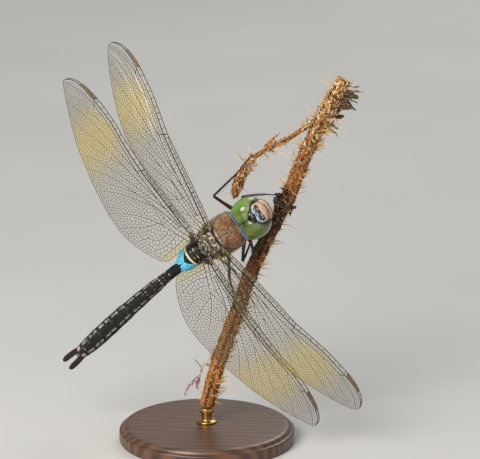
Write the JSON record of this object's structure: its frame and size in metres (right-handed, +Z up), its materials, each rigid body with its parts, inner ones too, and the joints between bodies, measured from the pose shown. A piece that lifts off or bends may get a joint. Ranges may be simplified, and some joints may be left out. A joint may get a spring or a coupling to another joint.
{
  "type": "dragonfly",
  "caption": "Hawker dragonfly at life size, still, with spread clear wings, gripping a short spiny dry stem that a plain round display stand carries.",
  "frame": {"origin": "middle of the bounding box, at the level of the stand's underside", "axes": "+Z up; +X towards the side where the stem leans and the right wings point; the insect's back faces -Y"},
  "size_m": [0.0714, 0.042, 0.0954],
  "materials": {
    "eye": "smooth and glossy, finely faceted",
    "face": "satin cuticle",
    "mouthparts": "satin cuticle",
    "thorax_cuticle": "satin cuticle under a thin coat of short hair",
    "dark_cuticle": "satin cuticle, finely granular",
    "blue_cuticle": "satin cuticle, slightly bloomed",
    "wing_membrane": "clear, thin and glossy, with dark raised veins",
    "leg_brown": "satin cuticle",
    "leg_black": "satin cuticle",
    "dry_stem": "dry, ridged and fibrous, with spines",
    "dry_twig": "dry, thin and fibrous, with spines",
    "stand_wood": "turned and waxed",
    "stand_metal": "satin"
  },
  "bodies": {
    "root": {"abdomen_01": "dark_cuticle", "abdomen_02": "blue_cuticle", "abdomen_03": "dark_cuticle", "abdomen_04": "dark_cuticle", "abdomen_05": "dark_cuticle", "abdomen_06": "dark_cuticle", "abdomen_07": "dark_cuticle", "abdomen_08": "dark_cuticle", "abdomen_09": "dark_cuticle", "abdomen_10": "dark_cuticle", "antenna_left": "leg_black", "antenna_right": "leg_black", "cercus_left": "dark_cuticle", "cercus_right": "dark_cuticle", "clypeus": "face", "epiproct": "dark_cuticle", "eye_left": "eye", "eye_right": "eye", "forewing_left": "wing_membrane", "forewing_right": "wing_membrane", "frons": "face", "head_capsule": "dark_cuticle", "hindwing_left": "wing_membrane", "hindwing_right": "wing_membrane", "labium": "mouthparts", "labrum": "mouthparts", "leg_front_left_femur": "leg_brown", "leg_front_left_tarsus": "leg_black", "leg_front_left_tibia": "leg_black", "leg_front_right_femur": "leg_brown", "leg_front_right_tarsus": "leg_black", "leg_front_right_tibia": "leg_black", "leg_hind_left_femur": "leg_brown", "leg_hind_left_tarsus": "leg_black", "leg_hind_left_tibia": "leg_black", "leg_hind_right_femur": "leg_brown", "leg_hind_right_tarsus": "leg_black", "leg_hind_right_tibia": "leg_black", "leg_mid_left_femur": "leg_brown", "leg_mid_left_tarsus": "leg_black", "leg_mid_left_tibia": "leg_black", "leg_mid_right_femur": "leg_brown", "leg_mid_right_tarsus": "leg_black", "leg_mid_right_tibia": "leg_black", "neck": "dark_cuticle", "perch_stem": "dry_stem", "perch_twig": "dry_twig", "prothorax": "thorax_cuticle", "stand_base": "stand_wood", "stand_rod": "stand_metal", "thorax": "thorax_cuticle"}
  },
  "joints": []
}
